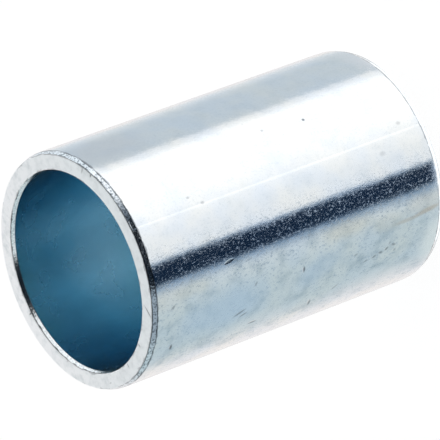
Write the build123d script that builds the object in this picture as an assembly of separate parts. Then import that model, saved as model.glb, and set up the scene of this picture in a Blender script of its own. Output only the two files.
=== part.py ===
from build123d import *
import os

# Spacer sleeve: one length of precision steel tube, cut square, with the outer and inner
# edge of each end turned to a shallow taper, longer along the tube than across the wall.
# The origin is the centre of the lower end face, and +Z runs up the bore. Millimetres.

# Tube
outer_diameter = 30.0       # outside of the drawn tube
wall = 2.5                  # wall of the drawn tube, so the bore is 25 and slips over an M24 bolt
length = 45.5               # lower end face to upper end face: the distance the sleeve keeps

# Edges, alike at both ends
outer_taper_across = 0.30   # how much of the end face the outer taper takes
outer_taper_along = 0.70    # how far the outer taper runs along the outside
inner_taper_across = 0.24   # how much of the end face the inner taper takes
inner_taper_along = 0.54    # how far the inner taper runs into the bore
corner_radius = 0.10        # round left on every corner of the tapers by tumbling and plating

outer_radius = outer_diameter / 2
bore_radius = outer_radius - wall


def end_corners(face_height, inward):
    # Corners of one end from the bore to the outside; inward is +1 at the lower end, -1 at the upper
    return [
        (bore_radius, face_height + inward * inner_taper_along),
        (bore_radius + inner_taper_across, face_height),
        (outer_radius - outer_taper_across, face_height),
        (outer_radius, face_height + inward * outer_taper_along),
    ]


def wall_section():
    # The wall cut lengthwise, in the XZ plane: along the lower end, then back along the upper
    lower_end = end_corners(0, 1)
    upper_end = end_corners(length, -1)
    outline = FilletPolyline(*lower_end, *reversed(upper_end), radius=corner_radius, close=True)
    return make_face(Plane.XZ * outline)


sleeve = revolve(wall_section(), Axis.Z)
sleeve.label = "sleeve"

os.makedirs("parts", exist_ok=True)
export_step(sleeve, "parts/sleeve.step")
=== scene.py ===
import math

import bmesh
import bpy
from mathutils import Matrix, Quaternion, Vector


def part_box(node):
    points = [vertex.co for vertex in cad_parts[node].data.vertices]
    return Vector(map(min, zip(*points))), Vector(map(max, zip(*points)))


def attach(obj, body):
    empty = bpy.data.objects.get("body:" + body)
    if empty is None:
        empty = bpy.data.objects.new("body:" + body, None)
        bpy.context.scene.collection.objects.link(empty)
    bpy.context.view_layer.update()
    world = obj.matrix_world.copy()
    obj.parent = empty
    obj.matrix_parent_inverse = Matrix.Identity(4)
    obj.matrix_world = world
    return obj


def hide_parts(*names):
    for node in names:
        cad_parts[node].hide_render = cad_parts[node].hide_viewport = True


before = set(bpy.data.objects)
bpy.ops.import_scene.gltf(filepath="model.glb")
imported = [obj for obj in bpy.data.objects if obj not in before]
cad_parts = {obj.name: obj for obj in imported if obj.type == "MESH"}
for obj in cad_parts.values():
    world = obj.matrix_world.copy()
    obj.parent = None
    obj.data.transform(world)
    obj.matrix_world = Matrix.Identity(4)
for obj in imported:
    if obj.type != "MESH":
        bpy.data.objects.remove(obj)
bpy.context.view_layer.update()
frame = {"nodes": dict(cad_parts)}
print("frame loaded:", ", ".join(frame["nodes"]))

mm = 0.001  # the frame is in metres
weld = 0.001 * mm  # points nearer than this become one
snap = 1e-7  # metres; a cut that passes a point this near goes through it
sleeveLow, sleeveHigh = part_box("sleeve")
outerRadius = (sleeveHigh[0] - sleeveLow[0]) / 2
sleeveHeight = sleeveHigh[2] - sleeveLow[2]


def linearColour(hexColour):
    channels = [int(hexColour[i : i + 2], 16) / 255 for i in (1, 3, 5)]
    return [c / 12.92 if c <= 0.04045 else ((c + 0.055) / 1.055) ** 2.4 for c in channels] + [1.0]


def addNode(tree, kind, inputs=None, **settings):  # a Mix node's colours are inputs 6 and 7, and output 2
    node = tree.nodes.new(kind)
    for name, value in settings.items():
        setattr(node, name, value)
    for name, value in (inputs or {}).items():
        if isinstance(value, bpy.types.NodeSocket):
            tree.links.new(value, node.inputs[name])
        else:
            node.inputs[name].default_value = value
    return node


def startMaterial(name):
    material = bpy.data.materials.new(name)
    material.use_nodes = True
    material.node_tree.nodes.clear()
    return material, material.node_tree


def outward(turn):  # the way that a turn in degrees faces: 0 is the front, 90 is the -X side
    return Vector((-math.sin(math.radians(turn)), -math.cos(math.radians(turn)), 0))


def turnOf(place):  # the turn that a place lies at, from -180 to 180 degrees
    return math.degrees(math.atan2(-place.x, -place.y))


def addMesh(name, shape):
    mesh = bpy.data.meshes.new(name)
    shape.to_mesh(mesh)
    shape.free()
    made = bpy.data.objects.new(name, mesh)
    bpy.context.collection.objects.link(made)
    return made


camera = {
    "turn": 0.0,  # degrees round the sleeve
    "rise": 34.33,  # degrees above level
    "roll": -110.3,  # degrees, lays the standing sleeve over in the picture
    "lens": 447.25,  # millimetres
    "sensor": 36,  # millimetres
    "distance": 44.47,  # sleeve radii from the point looked at
    "aim": 1.49,  # sleeve radii down the axis from the upper end
    "shift": -0.0032,  # share of the picture's width, lifts the sleeve a little
}


def makeCamera(spec):
    rise = math.radians(spec["rise"])
    back = outward(spec["turn"]) * math.cos(rise) + Vector((0, 0, math.sin(rise)))
    target = Vector((0, 0, sleeveHigh[2] - spec["aim"] * outerRadius))
    data = bpy.data.cameras.new("camera")
    data.lens = spec["lens"]
    data.sensor_width = spec["sensor"]
    data.shift_y = spec["shift"]
    seen = bpy.data.objects.new("camera", data)
    seen.location = target + back * spec["distance"] * outerRadius
    roll = Quaternion((0, 0, 1), math.radians(spec["roll"]))
    seen.rotation_mode = "QUATERNION"
    seen.rotation_quaternion = (-back).to_track_quat("-Z", "Y") @ roll
    bpy.context.collection.objects.link(seen)
    bpy.context.scene.camera = seen


makeCamera(camera)
print("camera placed")

# Bright plating shows what stands round it: a white room with curved flats, cards and softboxes.
# The first in the list stands nearest and covers the ones after it.

studio = {
    "room": "#ffffff",
    "roomLevel": 1.0,
    "nearest": 4.0,  # metres from the sleeve, so far off that all of it sees the same
    "apart": 0.1,  # metres from one panel to the next
    "cell": 2.0,  # degrees between a panel's points
    # A panel spans its turn and its rise, and fade and lift are how softly their edges go, all in degrees.
    # It glows like the room where it has no level of its own.
    "panels": {
        "ceilingGap": dict(turn=(-180, 180), fade=(0, 0), rise=(46, 72), lift=(8, 8), colour="#20262c"),
        "darkCamera": dict(turn=(-27, 38), fade=(10, 10), rise=(4, 46), lift=(8, 6), colour="#141d26"),
        "dimStand": dict(turn=(-44, -20), fade=(26, 4), rise=(-10, 20), lift=(8, 6), colour="#717b85"),
        "greyStand": dict(turn=(36, 88), fade=(10, 30), rise=(-14, 18), lift=(8, 8), colour="#a7b1b9"),
        "blackCard": dict(turn=(18.8, 39.2), fade=(3, 5), rise=(-41, 16), lift=(3, 8), colour="#17293c"),
        "blueEdge": dict(turn=(16.8, 46), fade=(3, 12), rise=(-42, 14), lift=(3, 8), colour="#99b0c6"),
        "softbox": dict(
            turn=(-83, -20), fade=(14, 60), rise=(-60, 14), lift=(4, 8), colour="#fffcfa", level=1.42
        ),
        "sidebox": dict(
            turn=(-150, -30), fade=(14, 10), rise=(-24, 24), lift=(6, 8), colour="#f8fafb", level=1.15
        ),
        "leftFlat": dict(turn=(-150, -91), fade=(40, 2.5), rise=(-41, 16), lift=(6, 8), colour="#d4dce1"),
        "rightFlat": dict(turn=(42, 132), fade=(70, 40), rise=(-44, 46), lift=(10, 8), colour="#cedadc"),
        "backFlat": dict(turn=(167, 193), fade=(14, 14), rise=(-50, 16), lift=(8, 8), colour="#f1eff0"),
        "warmFlat": dict(turn=(110, 205), fade=(20, 14), rise=(-50, 16), lift=(8, 8), colour="#fff9f6"),
    },
    # The lit table under the sleeve shines up the bore; its radius and depth are in metres.
    "table": dict(radius=0.42, depth=0.5, segments=64, colour="#ffffff", level=1.4),
}


def fadeAt(value, edges, blends):  # 1 between the edges, falling smoothly to 0 across each one's blend
    cover = 1.0
    for inside, blend in ((value - edges[0], blends[0]), (edges[1] - value, blends[1])):
        if blend:
            share = min(1.0, max(0.0, inside / blend + 0.5))
            cover *= share * share * (3 - 2 * share)
    return cover


def panelFinish(name, spec):
    material, tree = startMaterial(name)
    cover = addNode(tree, "ShaderNodeAttribute", attribute_name="cover").outputs["Fac"]
    clear = addNode(tree, "ShaderNodeBsdfTransparent").outputs[0]
    light = {"Color": linearColour(spec["colour"]), "Strength": spec.get("level", studio["roomLevel"])}
    glow = addNode(tree, "ShaderNodeEmission", light).outputs[0]
    shown = addNode(tree, "ShaderNodeMixShader", {0: cover, 1: clear, 2: glow}).outputs[0]
    addNode(tree, "ShaderNodeOutputMaterial", {"Surface": shown})
    return material


def makePanel(name, spec, distance):
    first = spec["turn"][0] - spec["fade"][0] / 2
    last = spec["turn"][1] + spec["fade"][1] / 2
    low = spec["rise"][0] - spec["lift"][0] / 2
    high = spec["rise"][1] + spec["lift"][1] / 2
    shape = bmesh.new()
    rows = math.ceil((high - low) / studio["cell"])
    column = []
    for i in range(rows + 1):
        rise = math.radians(low + (high - low) * i / rows)
        place = outward(first) * distance + Vector((0, 0, distance * math.tan(rise)))
        column.append(shape.verts.new(place))
    for lower, upper in zip(column, column[1:]):
        shape.edges.new((lower, upper))
    bmesh.ops.spin(
        shape,
        geom=shape.verts[:] + shape.edges[:],
        axis=(0, 0, -1),
        cent=(0, 0, 0),
        angle=math.radians(last - first),
        steps=math.ceil((last - first) / studio["cell"]),
    )
    cover = shape.verts.layers.float.new("cover")
    middle = sum(spec["turn"]) / 2
    for vert in shape.verts:
        turn = middle + (turnOf(vert.co) - middle + 180) % 360 - 180
        rise = math.degrees(math.atan2(vert.co.z, vert.co.xy.length))
        vert[cover] = fadeAt(turn, spec["turn"], spec["fade"]) * fadeAt(rise, spec["rise"], spec["lift"])
    panel = addMesh(name, shape)
    panel.visible_camera = False  # the room behind the sleeve stays plain white
    panel.data.materials.append(panelFinish(name, spec))


def makeTable(spec):
    shape = bmesh.new()
    bmesh.ops.create_circle(shape, cap_ends=True, segments=spec["segments"], radius=spec["radius"])
    bmesh.ops.translate(shape, verts=shape.verts, vec=(0, 0, -spec["depth"]))
    cover = shape.verts.layers.float.new("cover")
    for vert in shape.verts:
        vert[cover] = 1.0
    table = addMesh("lightTable", shape)
    table.visible_camera = False
    table.data.materials.append(panelFinish("lightTable", spec))


def makeStudio(spec):
    world = bpy.data.worlds.new("whiteRoom")
    world.use_nodes = True
    tree = world.node_tree
    tree.nodes.clear()
    light = {"Color": linearColour(spec["room"]), "Strength": spec["roomLevel"]}
    room = addNode(tree, "ShaderNodeBackground", light).outputs[0]
    addNode(tree, "ShaderNodeOutputWorld", {"Surface": room})
    bpy.context.scene.world = world
    for i, (name, panel) in enumerate(spec["panels"].items()):
        makePanel(name, panel, spec["nearest"] + i * spec["apart"])
    makeTable(spec["table"])


makeStudio(studio)
print("studio set:", len(studio["panels"]), "panels")

floor = {
    "size": 900.0,  # millimetres
    "gap": 0.02,  # millimetres under the sleeve
    "colour": "#808080",
    "glow": 0.91,  # brings the paper up to white, and leaves it the sleeve's shadow
}


def makeFloor(spec):  # the camera alone sees it: the plating looks past it at the white room
    shape = bmesh.new()
    bmesh.ops.create_grid(shape, x_segments=1, y_segments=1, size=spec["size"] * mm / 2)
    bmesh.ops.translate(shape, verts=shape.verts, vec=(0, 0, sleeveLow[2] - spec["gap"] * mm))
    sheet = addMesh("floor", shape)
    material, tree = startMaterial("pale paper floor")
    paper = addNode(tree, "ShaderNodeBsdfDiffuse", {"Color": linearColour(spec["colour"])}).outputs[0]
    light = {"Color": linearColour(studio["room"]), "Strength": spec["glow"]}
    glow = addNode(tree, "ShaderNodeEmission", light).outputs[0]
    lit = addNode(tree, "ShaderNodeAddShader", {0: paper, 1: glow}).outputs[0]
    clear = addNode(tree, "ShaderNodeBsdfTransparent").outputs[0]
    toCamera = addNode(tree, "ShaderNodeLightPath").outputs["Is Camera Ray"]
    shown = addNode(tree, "ShaderNodeMixShader", {0: toCamera, 1: clear, 2: lit}).outputs[0]
    addNode(tree, "ShaderNodeOutputMaterial", {"Surface": shown})
    sheet.data.materials.append(material)


makeFloor(floor)
print("floor laid")

sleeve = {  # millimetres
    "wall": 2.5,
    "outerTaper": (0.28, 0.68),  # across the end face, along the outside
    "innerTaper": (0.30, 0.46),  # across the end face, along the bore
    "cornerRound": (0.07, 0.09, 0.07, 0.07),  # how far each corner is rounded, from the bore outwards
    "cornerSteps": 5,
    "roundSteps": 360,
    "rowHeight": 1.5,  # between the rows of points up the wall
    "rollRows": (0.3, 0.6, 0.9, 1.2, 1.5, 1.8, 2.1),  # heights from the end
    "ringRow": 0.3,  # between the rings of points on an end
    "supportRow": 0.14,  # from a corner to the first row past it
    "taperRows": (0.17, 0.37, 0.50),  # depths from the end
    "endRoll": (1.4, 0.035),  # how far from the outer taper the wall starts to fall in, and by how much
    "flatEnd": 0.8,  # a face whose normal has this much up or down in it counts as the end
    "wearAndShadeReach": 0.12,  # past each corner's round
    "upperWearAndShade": (0.1, 0.6, 1.0, 0.95),  # how dark the same four corners are, from wear and painted shade along their edges
    # at the lower end only the outside corner is darkened: a thin painted shade line along that edge
    "lowerWearAndShade": (0.0, 0.0, 0.0, 0.95),
    "wearAndShadeSide": dict(turn=0, reach=100, fade=60, rest=0.35),  # degrees, then the darkening left round the rest; the wear and painted shade are strongest at the front
}
seam = {  # turn in degrees from the front, sizes in millimetres
    "turn": -9.5,
    "depth": 0.03,
    "widths": (3.0, 0.32),  # a slow fall on the far side of the line, then a steep rise
    "cuts": (-0.1, 0.0, 0.07, 0.15, 0.24, 0.34),  # extra edges, from the line towards the steep side
    "cutTurn": 2.0,  # how far from the line a face is cut, in degrees
}
finishSlots = dict(wall=0, end=1, outerTaper=2, innerTaper=3, lowerTaper=4, bore=5)  # order on the sleeve


def sectionCorners(spec):  # up the wall from the lower end, as radius and height
    outAcross, outAlong = (size * mm for size in spec["outerTaper"])
    inAcross, inAlong = (size * mm for size in spec["innerTaper"])
    bore = outerRadius - spec["wall"] * mm
    lowerEnd = [
        (bore, inAlong),
        (bore + inAcross, 0),
        (outerRadius - outAcross, 0),
        (outerRadius, outAlong),
    ]
    upperEnd = [(radius, sleeveHeight - height) for radius, height in reversed(lowerEnd)]
    return [(radius, sleeveLow[2] + height) for radius, height in lowerEnd + upperEnd]


def cutAcross(shape, place, direction, faces=None):  # through all of the shape, or the given faces alone
    if faces is None:
        geometry = shape.verts[:] + shape.edges[:] + shape.faces[:]
    else:
        points = dict.fromkeys(vert for face in faces for vert in face.verts)  # each once
        edges = dict.fromkeys(edge for face in faces for edge in face.edges)
        geometry = [*points, *edges, *faces]
    bmesh.ops.bisect_plane(shape, geom=geometry, dist=snap, plane_co=place, plane_no=direction)


def evenCuts(start, end, spacing):
    count = max(1, round((end - start) / spacing))
    return [start + (end - start) * i / count for i in range(count + 1)]


def spinSection(spec):
    shape = bmesh.new()
    corners = [shape.verts.new((radius, 0, height)) for radius, height in sectionCorners(spec)]
    for start, end in zip(corners, corners[1:] + corners[:1]):
        shape.edges.new((start, end))
    for corner, reach in zip(corners, spec["cornerRound"] + spec["cornerRound"][::-1]):
        bmesh.ops.bevel(
            shape,
            geom=[corner],
            offset=reach * mm,
            affect="VERTICES",
            segments=spec["cornerSteps"],
            profile=0.5,
            material=-1,
        )
    support = spec["supportRow"] * mm
    low = sleeveLow[2] + spec["outerTaper"][1] * mm + support
    high = sleeveHigh[2] - spec["outerTaper"][1] * mm - support
    heights = evenCuts(low, high, spec["rowHeight"] * mm)
    for depth in spec["taperRows"] + spec["rollRows"]:
        heights += [sleeveLow[2] + depth * mm, sleeveHigh[2] - depth * mm]
    for height in heights:
        cutAcross(shape, (0, 0, height), (0, 0, 1))
    inner = outerRadius - (spec["wall"] - spec["innerTaper"][0]) * mm + support
    outer = outerRadius - spec["outerTaper"][0] * mm - support
    for radius in evenCuts(inner, outer, spec["ringRow"] * mm):
        cutAcross(shape, (radius, 0, 0), (1, 0, 0))
    bmesh.ops.spin(
        shape,
        geom=shape.verts[:] + shape.edges[:],
        axis=(0, 0, 1),
        cent=(0, 0, 0),
        angle=math.tau,
        steps=spec["roundSteps"],
        use_merge=True,
    )
    bmesh.ops.remove_doubles(shape, verts=shape.verts, dist=weld)
    bmesh.ops.recalc_face_normals(shape, faces=shape.faces)
    return shape


def rollEnds(shape, spec):  # turning the taper eases the wall in a little beside it
    reach, fall = spec["endRoll"]
    for vert in shape.verts:
        radius = vert.co.xy.length
        fromEnd = min(vert.co.z - sleeveLow[2], sleeveHigh[2] - vert.co.z) / mm
        share = 1 - (fromEnd - spec["outerTaper"][1]) / reach
        if share > 0 and radius > outerRadius - spec["outerTaper"][0] * mm:
            vert.co.xy *= 1 - fall * min(share, 1) ** 2 * mm / radius


def pressSeam(shape, spec):  # the weld line of the tube that the sleeve was drawn from
    for offset in spec["cuts"]:
        turn = spec["turn"] + math.degrees(offset * mm / outerRadius)
        nearby = [
            face
            for face in shape.faces
            if abs(turnOf(face.calc_center_median()) - spec["turn"]) < spec["cutTurn"]
        ]
        cutAcross(shape, (0, 0, 0), outward(turn + 90), nearby)
    for vert in shape.verts:
        across = math.radians(turnOf(vert.co) - spec["turn"]) * outerRadius / mm
        radius = vert.co.xy.length
        if abs(across) < spec["widths"][0] and radius > outerRadius - sleeve["outerTaper"][0] * mm:
            share = 2 * across / spec["widths"][0 if across < 0 else 1]
            depth = spec["depth"] * math.exp(-(share**2)) * mm
            vert.co.xy *= (radius - depth) / radius


def markWearAndShade(shape, spec):  # wear and painted shade, strongest on each corner's round, fading out on both sides of it
    corners = sectionCorners(spec)
    rounds = spec["cornerRound"] + spec["cornerRound"][::-1]
    strengths = spec["lowerWearAndShade"] + spec["upperWearAndShade"][::-1]
    side = spec["wearAndShadeSide"]
    sides = (side["turn"] - side["reach"], side["turn"] + side["reach"])
    wornAndShaded = shape.verts.layers.float.new("cornerWearAndShade")
    for vert in shape.verts:
        place = (vert.co.xy.length, vert.co.z)
        wearAndShade = 0.0
        for corner, strength, size in zip(corners, strengths, rounds):
            beyond = max(0.0, math.dist(place, corner) / mm - size)
            wearAndShade = max(wearAndShade, strength * (1 - beyond / spec["wearAndShadeReach"]))
        if place[0] > outerRadius - spec["wall"] * mm / 2:
            share = fadeAt(turnOf(vert.co), sides, (side["fade"], side["fade"]))
            wearAndShade *= side["rest"] + (1 - side["rest"]) * share
        vert[wornAndShaded] = wearAndShade


def isOnEnd(face, spec):  # the flat of an end, and what of its corners' rounds is nearly as flat
    return abs(face.normal.z) > spec["flatEnd"]


def unrollSleeve(shape, spec):  # a UV map in millimetres: along the outside, and up it or across an end
    unrolled = shape.loops.layers.uv.new("unrolled")
    for face in shape.faces:
        middle = turnOf(face.calc_center_median())
        for loop in face.loops:
            place = loop.vert.co
            turn = middle + (turnOf(place) - middle + 180) % 360 - 180
            across = place.xy.length if isOnEnd(face, spec) else place.z - sleeveLow[2]
            loop[unrolled].uv = (math.radians(turn) * outerRadius / mm, across / mm)


def finishOf(face, spec):
    middle = face.calc_center_median()
    inside = middle.xy.length < outerRadius - spec["wall"] * mm / 2
    fromEnd = min(middle.z - sleeveLow[2], sleeveHigh[2] - middle.z)
    taper = "innerTaper" if inside else "outerTaper"
    if isOnEnd(face, spec):
        return "end"
    if fromEnd < spec[taper][1] * mm:
        return "lowerTaper" if middle.z < sleeveLow[2] + sleeveHeight / 2 else taper
    return "bore" if inside else "wall"


def makeSleeve(spec):
    shape = spinSection(spec)
    rollEnds(shape, spec)
    pressSeam(shape, seam)
    markWearAndShade(shape, spec)
    unrollSleeve(shape, spec)
    for face in shape.faces:
        face.smooth = True
        face.material_index = finishSlots[finishOf(face, spec)]
    return addMesh("platedSleeve", shape)


# Dents and scratches: turn in degrees, height, length and width in millimetres, lean in degrees, strength.
# On an end, the distance from the axis takes the place of the height. With no lean a mark runs along the
# sleeve, or across the end.

wallMarks = [
    (20, 33.7, 1.5, 0.42, 10, 0.75),
    (49.5, 31.9, 2.2, 0.4, 20, 0.7),
    (51.5, 31.2, 1.5, 0.35, 20, 0.6),
    (55, 42.1, 1.1, 0.5, 92, 1.0),
    (38, 22.3, 1.0, 0.45, 90, 0.9),
    (62, 20.0, 1.3, 0.5, 98, 0.8),
    (60, 29.1, 1.5, 0.45, 0, 0.7),
    (32, 42.5, 0.9, 0.4, 30, 0.6),
    (47, 12.2, 1.0, 0.35, 14, 0.5),
    (46.2, 10.9, 0.9, 0.4, 20, 0.6),
    (45.2, 9.9, 0.8, 0.45, -10, 0.7),
    (44.2, 9.0, 0.8, 0.45, 30, 0.7),
    (43.2, 7.9, 0.9, 0.45, -20, 0.6),
    (41.5, 8.6, 0.6, 0.4, 60, 0.4),
    (46.5, 7.6, 0.6, 0.4, 40, 0.4),
    (57, 16.4, 1.4, 0.4, 30, 0.4),
    (41, 14.0, 0.8, 0.4, 10, 0.4),
    (36, 29.8, 0.8, 0.4, 50, 0.5),
    (-31, 15.5, 0.5, 0.45, 0, 1.0),
    (-33, 21.6, 0.5, 0.4, 0, 0.4),
    (-14, 36.4, 0.6, 0.4, 0, 0.4),
    (-9.5, 34.8, 0.7, 0.5, 0, 0.4),
    (-13, 3.6, 0.8, 0.6, 0, 0.3),
    (-2, 7.7, 1.1, 0.7, 0, 0.25),
]
endMarks = [
    (32, 13.95, 2.2, 0.2, 46, 0.65),
    (-44, 14.5, 0.6, 0.35, 0, 0.7),
    (-50.5, 14.3, 1.1, 0.25, 5, 0.5),
    (55, 13.15, 0.7, 0.25, 15, 0.5),
    (73.5, 13.15, 0.8, 0.25, 10, 0.5),
    (95, 14.0, 0.6, 0.25, 80, 0.3),
    (167.3, 12.95, 0.9, 0.35, 0, 0.9),
]
stainsAndReflection = [  # laid the same way, with the colour last
    # The first runs the whole length where the black card shows in the plating: a painted reflection,
    # tinting that dark band blue.
    (14, 22.75, 64.0, 3.4, 0, 0.42, "#9cc0ea"),
    (27, 43.0, 6.0, 4.0, 0, 0.4, "#e9e6df"),
    (59, 28.5, 16.0, 3.6, 0, 0.5, "#f0f2f6"),
    (62, 10.0, 16.0, 4.6, 0, 0.5, "#f3f3f6"),
    (46, 24.5, 5.0, 5.0, 0, 0.35, "#e9eef0"),
    (44, 34.5, 17.0, 7.0, 0, 0.65, "#c8dbf0"),
    (41, 20.0, 9.0, 4.0, 20, 0.5, "#ccdcee"),
    (25, 15.5, 9.0, 3.2, 0, 0.45, "#dcd6c6"),
    (26, 39.5, 7.0, 2.6, 0, 0.35, "#d9d7cb"),
    (31.2, 2.6, 5.0, 0.8, 6, 0.55, "#bfae9c"),
    (32.6, 5.8, 5.0, 0.7, 1, 0.4, "#c2b3a2"),
    (50, 0.8, 6.0, 9.0, 0, 0.8, "#ffffff"),
    (-57, 0.8, 5.0, 8.0, 0, 0.6, "#f6f5f8"),
    (-58, 41.0, 14.0, 8.0, 0, 0.5, "#d3d6de"),
    (14.5, 17.5, 9.0, 3.2, 0, 0.45, "#dff0ff"),
    (27, 3.0, 7.0, 3.4, 0, 0.35, "#dcd3c6"),
    (30, 9.0, 6.0, 3.0, 0, 0.3, "#dcd6c6"),
]
boreMarks = [
    (129, 44.2, 3.2, 0.16, 8, 0.6),
    (125, 43.6, 2.6, 0.14, 20, 0.4),
    (124, 44.7, 2.2, 0.14, -12, 0.5),
    (119, 44.6, 1.8, 0.2, 35, 0.4),
    (112, 43.2, 1.6, 0.14, -30, 0.4),
    (118, 42.6, 2.4, 0.14, 15, 0.3),
]
handledSide = (46, 22.75, 110.0, 22.0, 0, 1.0)  # duller from being handled
spotEdge = (1.2, 0.3)  # shares of a spot's half size: where it starts to show, and where it is full


def addSpots(tree, spots):  # one soft-edged oval for each, laid on the unrolled surface
    flat = addNode(tree, "ShaderNodeUVMap", uv_map="unrolled").outputs[0]
    covers = []
    for turn, height, length, width, lean, strength, *_ in spots:
        oval = {
            "Vector": flat,
            "Location": (math.radians(turn) * outerRadius / mm, height, 0),
            "Rotation": (0, 0, math.radians(90 - lean)),
            "Scale": (length / 2, width / 2, 1),
        }
        local = addNode(tree, "ShaderNodeMapping", oval, vector_type="TEXTURE").outputs[0]
        off = addNode(tree, "ShaderNodeVectorMath", {0: local}, operation="LENGTH").outputs["Value"]
        fade = {"Value": off, "From Min": spotEdge[0], "From Max": spotEdge[1], "To Max": strength}
        covers.append(addNode(tree, "ShaderNodeMapRange", fade, interpolation_type="SMOOTHSTEP").outputs[0])
    return covers


def addMarks(tree, marks):  # the strongest mark at each place
    deepest = 0.0
    for cover in addSpots(tree, marks):
        deepest = addNode(tree, "ShaderNodeMath", {0: deepest, 1: cover}, operation="MAXIMUM").outputs[0]
    return deepest


def inMillimetres(tree):
    place = addNode(tree, "ShaderNodeTexCoord").outputs["Object"]
    scaled = {"Vector": place, "Scale": (1 / mm, 1 / mm, 1 / mm)}
    return addNode(tree, "ShaderNodeMapping", scaled).outputs[0]


# Below, a size is the width of a pattern's blotches in millimetres. A spread is the part of its noise that
# shows: where it starts, where it is full, and how much of the colour under it is then covered.

wearAndShadeEdge = {
    "dashes": (0.3, 0.7),
    "softness": 0.35,  # from where the wear and painted shade start to show to where they are full
}


def addCornerWearAndShade(tree, where, wearAndShade):  # the corners' wear and painted shade, broken into dashes by a noise
    wornAndShaded = addNode(tree, "ShaderNodeAttribute", attribute_name="cornerWearAndShade").outputs["Fac"]
    grit = {"Vector": where, "Scale": 1 / wearAndShade["size"], "Detail": 3.0}
    noise = addNode(tree, "ShaderNodeTexNoise", grit).outputs[0]
    least, most = wearAndShadeEdge["dashes"]
    spread = {"Value": noise, "From Min": least, "From Max": most}
    dashes = addNode(tree, "ShaderNodeMapRange", spread).outputs[0]
    both = addNode(tree, "ShaderNodeMath", {0: wornAndShaded, 1: dashes}, operation="ADD").outputs[0]
    full = wearAndShade["starts"] + wearAndShadeEdge["softness"]
    edge = {"Value": both, "From Min": wearAndShade["starts"], "From Max": full, "To Max": wearAndShade["amount"]}
    return addNode(tree, "ShaderNodeMapRange", edge, interpolation_type="SMOOTHSTEP").outputs[0]


drawnWall = {
    "colours": ("#dde6ef", "#e7ebec"),
    "patchSize": 5.0,
    "patchSpread": (0.3, 0.7),
    "dull": "#b4c2cc",
    "dullSize": 1.9,
    "dullSpread": (0.4, 0.8, 0.85),
    "speck": "#99aec2",
    "speckSize": 0.27,  # coarser than the real crystals of under 0.1, to show
    "speckSpread": (0.49, 0.8, 0.7),
    "peelSize": 0.2,  # coarser than the real peel of about 0.1, to show
    "peelHeight": 0.004,
    "waveSize": 1.6,
    "waveHeight": 0.014,
    "pitSize": 0.17,  # coarser than the real pits of about 0.05, to show
    "pitSpread": (0.56, 0.78),
    "pitDepth": 0.0035,
    "drawnOut": (1, 1, 0.75),  # specks and pits are longer along the sleeve
    "leastHandled": 0.22,  # how much of the dullness and specks the other side has
    "dentDepth": 0.03,
    "dentDirt": 0.85,
    # dirt in the dents and scratches, and the wear and painted shade at the corners, take this colour
    "dirtAndShade": "#5f666e",
    "wearAndShade": dict(size=0.8, starts=1.0, amount=0.6),
    "roughness": (0.09, 0.3),  # bare, and on the specks
    "roughFrom": 0.3,  # the cover of specks that is fully rough
}


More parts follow.
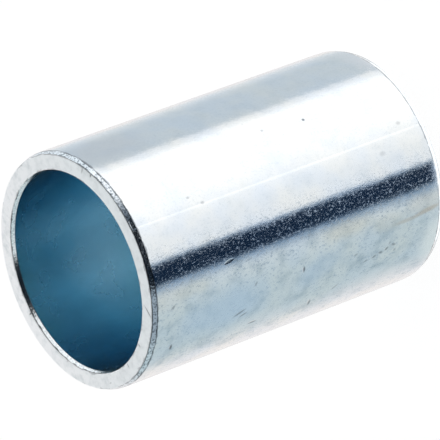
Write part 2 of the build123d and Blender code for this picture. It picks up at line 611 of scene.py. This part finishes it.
# Bright zinc plating on drawn steel: a blue-white mirror with a fine orange peel, flecked where handled.
def drawnWallFinish(look):
    material, tree = startMaterial("zinc-plated drawn steel")
    where = inMillimetres(tree)
    drawn = addNode(tree, "ShaderNodeMapping", {"Vector": where, "Scale": look["drawnOut"]}).outputs[0]

    # Relief: slow waves, orange peel, pits and dents
    slow = {"Vector": where, "Scale": 1 / look["waveSize"], "Detail": 1.0}
    wave = addNode(tree, "ShaderNodeTexNoise", slow).outputs[0]
    peel = addNode(tree, "ShaderNodeTexNoise", {"Vector": where, "Scale": 1 / look["peelSize"]}).outputs[0]
    uneven = {"Vector": drawn, "Scale": 1 / look["pitSize"], "Detail": 3.0, "Distortion": 0.8}
    grit = addNode(tree, "ShaderNodeTexNoise", uneven).outputs[0]
    least, most = look["pitSpread"]
    edge = {"Value": grit, "From Min": least, "From Max": most}
    pits = addNode(tree, "ShaderNodeMapRange", edge, interpolation_type="SMOOTHSTEP").outputs[0]
    dents = addMarks(tree, wallMarks)
    surface = None
    for height, depth in (
        (wave, look["waveHeight"]),
        (peel, look["peelHeight"]),
        (pits, -look["pitDepth"]),
        (dents, -look["dentDepth"]),
    ):
        relief = {"Height": height, "Distance": abs(depth) * mm, "Strength": 1.0}
        if surface:
            relief["Normal"] = surface
        surface = addNode(tree, "ShaderNodeBump", relief, invert=depth < 0).outputs[0]

    # Colour: patches of two tints, then dull blotches, specks, stains, a painted blue reflection, and dirt
    # in the dents with wear and painted shade at the corners over them
    broad = {"Vector": where, "Scale": 1 / look["patchSize"]}
    patches = addNode(tree, "ShaderNodeTexNoise", broad).outputs[0]
    least, most = look["patchSpread"]
    edge = {"Value": patches, "From Min": least, "From Max": most}
    patchy = addNode(tree, "ShaderNodeMapRange", edge, interpolation_type="SMOOTHSTEP").outputs[0]
    first, second = (linearColour(colour) for colour in look["colours"])
    colour = addNode(tree, "ShaderNodeMix", {0: patchy, 6: first, 7: second}, data_type="RGBA").outputs[2]
    side = addSpots(tree, [handledSide])[0]
    share = {"Value": side, "To Min": look["leastHandled"], "To Max": 1.0}
    handled = addNode(tree, "ShaderNodeMapRange", share).outputs[0]
    uneven = {"Vector": where, "Scale": 1 / look["dullSize"], "Detail": 5.0}
    dulls = addNode(tree, "ShaderNodeTexNoise", uneven).outputs[0]
    least, most, cover = look["dullSpread"]
    edge = {"Value": dulls, "From Min": least, "From Max": most, "To Max": cover}
    dull = addNode(tree, "ShaderNodeMapRange", edge, interpolation_type="SMOOTHSTEP").outputs[0]
    fine = {"Vector": drawn, "Scale": 1 / look["speckSize"], "Detail": 2.0}
    dots = addNode(tree, "ShaderNodeTexNoise", fine).outputs[0]
    least, most, cover = look["speckSpread"]
    edge = {"Value": dots, "From Min": least, "From Max": most, "To Max": cover}
    specks = addNode(tree, "ShaderNodeMapRange", edge, interpolation_type="SMOOTHSTEP").outputs[0]
    dull, specks = (
        addNode(tree, "ShaderNodeMath", {0: cover, 1: handled}, operation="MULTIPLY").outputs[0]
        for cover in (dull, specks)
    )
    layers = [(dull, look["dull"]), (specks, look["speck"])]
    # the stains, and the first entry's painted blue reflection along the dark band
    layers += [(cover, colouredSpot[-1]) for cover, colouredSpot in zip(addSpots(tree, stainsAndReflection), stainsAndReflection)]
    # darker at the corners: wear, and painted shade along the edges
    wearAndShade = addCornerWearAndShade(tree, where, look["wearAndShade"])
    dirty = addNode(tree, "ShaderNodeMath", {0: dents, 1: look["dentDirt"]}, operation="MULTIPLY").outputs[0]
    soiledAndShaded = addNode(tree, "ShaderNodeMath", {0: dirty, 1: wearAndShade}, operation="MAXIMUM").outputs[0]
    layers += [(soiledAndShaded, look["dirtAndShade"])]
    for cover, shade in layers:
        blend = {0: cover, 6: colour, 7: linearColour(shade)}
        colour = addNode(tree, "ShaderNodeMix", blend, data_type="RGBA").outputs[2]

    bare, flecked = look["roughness"]
    spread = {"Value": specks, "From Max": look["roughFrom"], "To Min": bare, "To Max": flecked}
    roughness = addNode(tree, "ShaderNodeMapRange", spread).outputs[0]
    looks = {"Base Color": colour, "Metallic": 1.0, "Roughness": roughness, "Normal": surface}
    shader = addNode(tree, "ShaderNodeBsdfPrincipled", looks).outputs[0]
    addNode(tree, "ShaderNodeOutputMaterial", {"Surface": shader})
    return material


sawnEnd = {
    "colours": ("#ebf2f5", "#fbfdff"),  # at the front and at the back: painted light, darker at the front and lighter at the back
    "cloud": "#d8dfe2",
    "cloudSize": 0.9,
    "cloudSpread": (0.45, 0.85),
    "grainSize": 0.25,  # coarser than the real grain of about 0.1, to show
    "grainHeight": 0.008,
    "scratchDepth": 0.02,
    # the scratches, and the wear and painted shade at the corners, take this colour
    "dirtAndShade": "#5a6066",
    "wearAndShade": dict(size=1.0, starts=1.0, amount=0.45),
    "roughness": 0.35,
}


# Zinc plating on a sawn and brushed end: pale and satin, with no clear reflection.
def sawnEndFinish(look):
    material, tree = startMaterial("zinc-plated sawn end")
    where = inMillimetres(tree)
    # painted light: the end's colour runs from darker at the front to lighter at the back
    toBack = addNode(tree, "ShaderNodeSeparateXYZ", {0: where}).outputs[1]
    rim = outerRadius / mm
    across = {"Value": toBack, "From Min": -rim, "From Max": rim}
    share = addNode(tree, "ShaderNodeMapRange", across).outputs[0]
    front, back = (linearColour(colour) for colour in look["colours"])
    colour = addNode(tree, "ShaderNodeMix", {0: share, 6: front, 7: back}, data_type="RGBA").outputs[2]
    uneven = {"Vector": where, "Scale": 1 / look["cloudSize"], "Detail": 4.0}
    clouds = addNode(tree, "ShaderNodeTexNoise", uneven).outputs[0]
    least, most = look["cloudSpread"]
    spread = {"Value": clouds, "From Min": least, "From Max": most}
    cloudy = addNode(tree, "ShaderNodeMapRange", spread).outputs[0]
    scratches = addMarks(tree, endMarks)
    # darker at the corners: wear, and painted shade along the edges
    wearAndShade = addCornerWearAndShade(tree, where, look["wearAndShade"])
    soiledAndShaded = addNode(tree, "ShaderNodeMath", {0: scratches, 1: wearAndShade}, operation="MAXIMUM").outputs[0]
    for cover, shade in ((cloudy, look["cloud"]), (soiledAndShaded, look["dirtAndShade"])):
        blend = {0: cover, 6: colour, 7: linearColour(shade)}
        colour = addNode(tree, "ShaderNodeMix", blend, data_type="RGBA").outputs[2]
    grain = addNode(tree, "ShaderNodeTexNoise", {"Vector": where, "Scale": 1 / look["grainSize"]}).outputs[0]
    relief = {"Height": grain, "Distance": look["grainHeight"] * mm, "Strength": 1.0}
    surface = addNode(tree, "ShaderNodeBump", relief).outputs[0]
    relief = {"Height": scratches, "Distance": look["scratchDepth"] * mm, "Strength": 1.0, "Normal": surface}
    surface = addNode(tree, "ShaderNodeBump", relief, invert=True).outputs[0]
    looks = {"Base Color": colour, "Metallic": 1.0, "Roughness": look["roughness"], "Normal": surface}
    shader = addNode(tree, "ShaderNodeBsdfPrincipled", looks).outputs[0]
    addNode(tree, "ShaderNodeOutputMaterial", {"Surface": shader})
    return material


# The turning tool leaves chatter about 0.3 apart on the tapers, and the handling dulls it in blotches.

outerTaper = {
    "name": "zinc-plated turned edge",
    "colour": "#dde7ef",
    "mottle": "#68727b",
    "mottleSize": 0.26,
    "mottled": 0.75,
    "chatterSize": 0.26,
    "chatterHeight": 0.024,
    # the wear and painted shade at the corners take this colour
    "dirtAndShade": "#3c4248",
    "wearAndShade": dict(size=1.2, starts=0.9, amount=0.85),
    "roughness": 0.12,
}
innerTaper = {
    "name": "zinc-plated reamed edge",
    "colour": "#eef3f6",
    "mottle": "#a5adb4",
    "mottleSize": 0.28,
    "mottled": 0.4,
    "chatterSize": 0.3,
    "chatterHeight": 0.02,
    # the wear and painted shade at the corners take this colour
    "dirtAndShade": "#3c4248",
    "wearAndShade": dict(size=1.2, starts=0.95, amount=0.85),
    "roughness": 0.16,
}
lowerTaper = {  # smoother, so that it shows as one thin line, with painted shade at its outer corner
    "name": "zinc-plated burnished edge",
    "colour": "#e4ebf0",
    "mottle": "#c3cbd2",
    "mottleSize": 0.28,
    "mottled": 0.4,
    "chatterSize": 0.3,
    "chatterHeight": 0.008,
    # the wear and painted shade at the corners take this colour
    "dirtAndShade": "#6e6a66",
    "wearAndShade": dict(size=1.2, starts=0.9, amount=0.6),
    "roughness": 0.12,
}
mottleSpread = (0.45, 0.65)


# Zinc plating on a cut edge: it glitters in short strokes and is dark at its corners, from wear and painted
# shade.
def taperFinish(look):
    material, tree = startMaterial(look["name"])
    where = inMillimetres(tree)
    strokes = {"Vector": where, "Scale": 1 / look["chatterSize"]}
    chatter = addNode(tree, "ShaderNodeTexNoise", strokes).outputs[0]
    relief = {"Height": chatter, "Distance": look["chatterHeight"] * mm, "Strength": 1.0}
    surface = addNode(tree, "ShaderNodeBump", relief).outputs[0]
    uneven = {"Vector": where, "Scale": 1 / look["mottleSize"], "Detail": 2.0}
    blotches = addNode(tree, "ShaderNodeTexNoise", uneven).outputs[0]
    least, most = mottleSpread
    edge = {"Value": blotches, "From Min": least, "From Max": most, "To Max": look["mottled"]}
    blotchy = addNode(tree, "ShaderNodeMapRange", edge, interpolation_type="SMOOTHSTEP").outputs[0]
    wearAndShade = addCornerWearAndShade(tree, where, look["wearAndShade"])
    colour = linearColour(look["colour"])
    for cover, shade in ((blotchy, look["mottle"]), (wearAndShade, look["dirtAndShade"])):
        blend = {0: cover, 6: colour, 7: linearColour(shade)}
        colour = addNode(tree, "ShaderNodeMix", blend, data_type="RGBA").outputs[2]
    looks = {"Base Color": colour, "Metallic": 1.0, "Roughness": look["roughness"], "Normal": surface}
    shader = addNode(tree, "ShaderNodeBsdfPrincipled", looks).outputs[0]
    addNode(tree, "ShaderNodeOutputMaterial", {"Surface": shader})
    return material


blueBore = {
    "colours": {  # by height in millimetres
        0: "#d4e6ee",
        4: "#bcd9e6",
        10: "#9ac8d9",
        26: "#9ac8d9",
        30: "#9dc1cd",
        36: "#9ac8d9",
        41: "#92bbcb",
        45: "#a5c3c5",
    },
    "tints": [  # laid as the stains are
        (-147, 39.5, 16.0, 8.0, 0, 0.75, "#c3dce7"),
        (-155, 33.0, 8.0, 10.0, 0, 0.4, "#bcd5e3"),
        (-176, 34.0, 10.0, 18.0, 0, 0.7, "#bcd3df"),
        (184, 34.0, 10.0, 18.0, 0, 0.7, "#bcd3df"),  # the same patch, past where the turn starts again
        (-118, 38.0, 14.0, 9.0, 0, 0.7, "#9bceda"),
        (139, 41.0, 12.0, 8.0, 0, 0.8, "#8ab1c4"),
    ],
    "cloud": "#8ebcd0",
    "cloudSize": 4.0,
    "cloudSpread": (0.25, 0.9),
    "grain": "#7fa9bd",
    "grainSize": 0.24,  # coarser than the real crystals of under 0.1, to show
    "grainSpread": (0.45, 0.75, 0.5),
    "grainHeight": 0.005,
    "scratch": "#e6f2f8",
    "roughness": (0.2, 0.3),
    "roughSpread": (0.2, 0.8),
}


# Thicker passivation on zinc in the bore: a dull blue that deepens with each reflection.
def blueBoreFinish(look):
    material, tree = startMaterial("blue passivated zinc bore")
    where = inMillimetres(tree)
    height = addNode(tree, "ShaderNodeSeparateXYZ", {0: where}).outputs[2]
    share = addNode(tree, "ShaderNodeMath", {0: height, 1: sleeveHeight / mm}, operation="DIVIDE").outputs[0]
    along = addNode(tree, "ShaderNodeValToRGB", {0: share})
    while len(along.color_ramp.elements) < len(look["colours"]):
        along.color_ramp.elements.new(0.5)  # each is put in its place below
    for stop, (place, colour) in zip(along.color_ramp.elements, look["colours"].items()):
        stop.position = place * mm / sleeveHeight
        stop.color = linearColour(colour)
    uneven = {"Vector": where, "Scale": 1 / look["cloudSize"], "Detail": 3.0}
    clouds = addNode(tree, "ShaderNodeTexNoise", uneven).outputs[0]
    least, most = look["cloudSpread"]
    edge = {"Value": clouds, "From Min": least, "From Max": most}
    cloudy = addNode(tree, "ShaderNodeMapRange", edge, interpolation_type="SMOOTHSTEP").outputs[0]
    grain = addNode(tree, "ShaderNodeTexNoise", {"Vector": where, "Scale": 1 / look["grainSize"]}).outputs[0]
    least, most, cover = look["grainSpread"]
    edge = {"Value": grain, "From Min": least, "From Max": most, "To Max": cover}
    grainy = addNode(tree, "ShaderNodeMapRange", edge, interpolation_type="SMOOTHSTEP").outputs[0]
    colour = along.outputs[0]
    layers = [(cloudy, look["cloud"]), (grainy, look["grain"])]
    layers += [(cover, tint[-1]) for cover, tint in zip(addSpots(tree, look["tints"]), look["tints"])]
    layers += [(addMarks(tree, boreMarks), look["scratch"])]
    for cover, shade in layers:
        blend = {0: cover, 6: colour, 7: linearColour(shade)}
        colour = addNode(tree, "ShaderNodeMix", blend, data_type="RGBA").outputs[2]
    least, most = look["roughSpread"]
    smooth, rough = look["roughness"]
    sheen = {"Value": clouds, "From Min": least, "From Max": most, "To Min": smooth, "To Max": rough}
    roughness = addNode(tree, "ShaderNodeMapRange", sheen, interpolation_type="SMOOTHSTEP").outputs[0]
    relief = {"Height": grain, "Distance": look["grainHeight"] * mm, "Strength": 1.0}
    surface = addNode(tree, "ShaderNodeBump", relief).outputs[0]
    looks = {"Base Color": colour, "Metallic": 1.0, "Roughness": roughness, "Normal": surface}
    shader = addNode(tree, "ShaderNodeBsdfPrincipled", looks).outputs[0]
    addNode(tree, "ShaderNodeOutputMaterial", {"Surface": shader})
    return material


platedSleeve = makeSleeve(sleeve)
print("sleeve made:", len(platedSleeve.data.polygons), "faces")
finishes = {
    "wall": drawnWallFinish(drawnWall),
    "end": sawnEndFinish(sawnEnd),
    "outerTaper": taperFinish(outerTaper),
    "innerTaper": taperFinish(innerTaper),
    "lowerTaper": taperFinish(lowerTaper),
    "bore": blueBoreFinish(blueBore),
}
for part in sorted(finishSlots, key=finishSlots.get):
    platedSleeve.data.materials.append(finishes[part])
print("finishes added:", ", ".join(finish.name for finish in finishes.values()))

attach(platedSleeve, "root")
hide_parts("sleeve")

bpy.context.scene.view_settings.view_transform = "Standard"
bpy.context.scene.cycles.glossy_bounces = 8  # light is thrown to and fro down the bore
